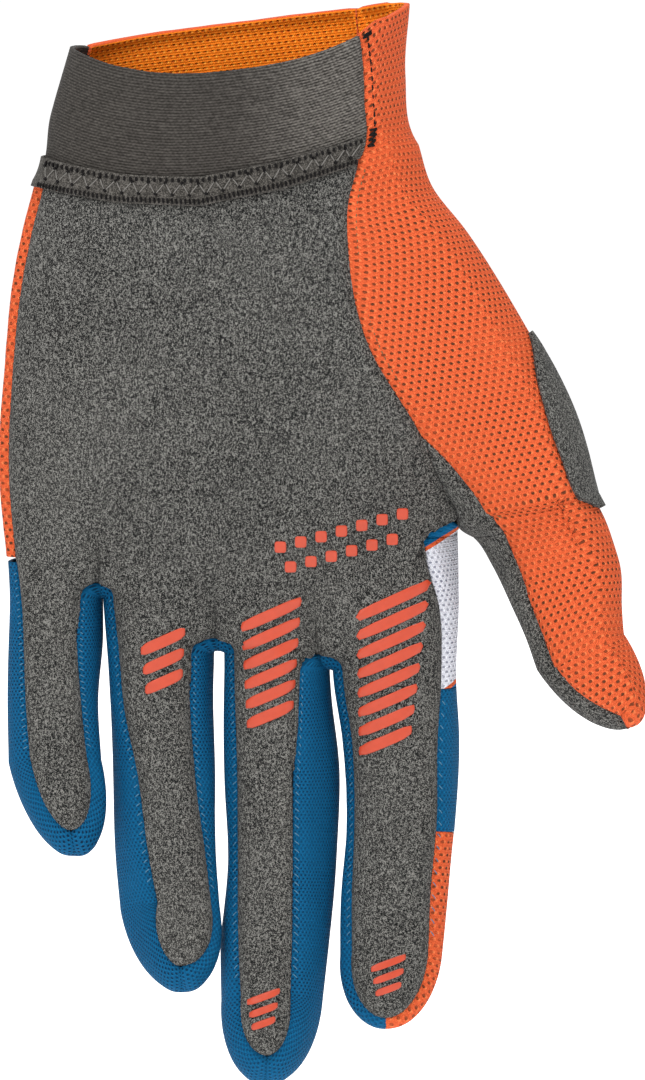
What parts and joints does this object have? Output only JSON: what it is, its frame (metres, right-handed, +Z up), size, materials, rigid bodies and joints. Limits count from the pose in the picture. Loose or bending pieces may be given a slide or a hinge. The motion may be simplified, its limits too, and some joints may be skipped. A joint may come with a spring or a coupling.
{
  "type": "motocross glove",
  "caption": "Pull-on motocross glove for the left hand, with a knitted mesh back, suede-like palm, side strips between the fingers and an elastic cuff.",
  "frame": {"origin": "centre of the wrist opening", "axes": "+Z up out of the wrist opening, fingers towards -Z, palm towards -Y, thumb towards +X"},
  "size_m": [0.1401, 0.0468, 0.234],
  "materials": {
    "grey_suede": "matt melange suede",
    "orange_mesh": "knitted mesh",
    "blue_mesh": "fine knitted mesh",
    "white_mesh": "perforated mesh",
    "elastic": "ribbed woven elastic",
    "band": "woven tape"
  },
  "bodies": {
    "root": {"palm_panel": "grey_suede", "thumb_panel": "orange_mesh", "back_panel": "orange_mesh", "thumb_patch": "grey_suede", "cuff_elastic": "elastic", "cuff_band": "band", "little_side": "blue_mesh", "fork_little_ring": "blue_mesh", "fork_ring_middle": "blue_mesh", "fork_middle_index": "blue_mesh", "index_side_white": "white_mesh", "index_side_blue": "blue_mesh"}
  },
  "joints": []
}
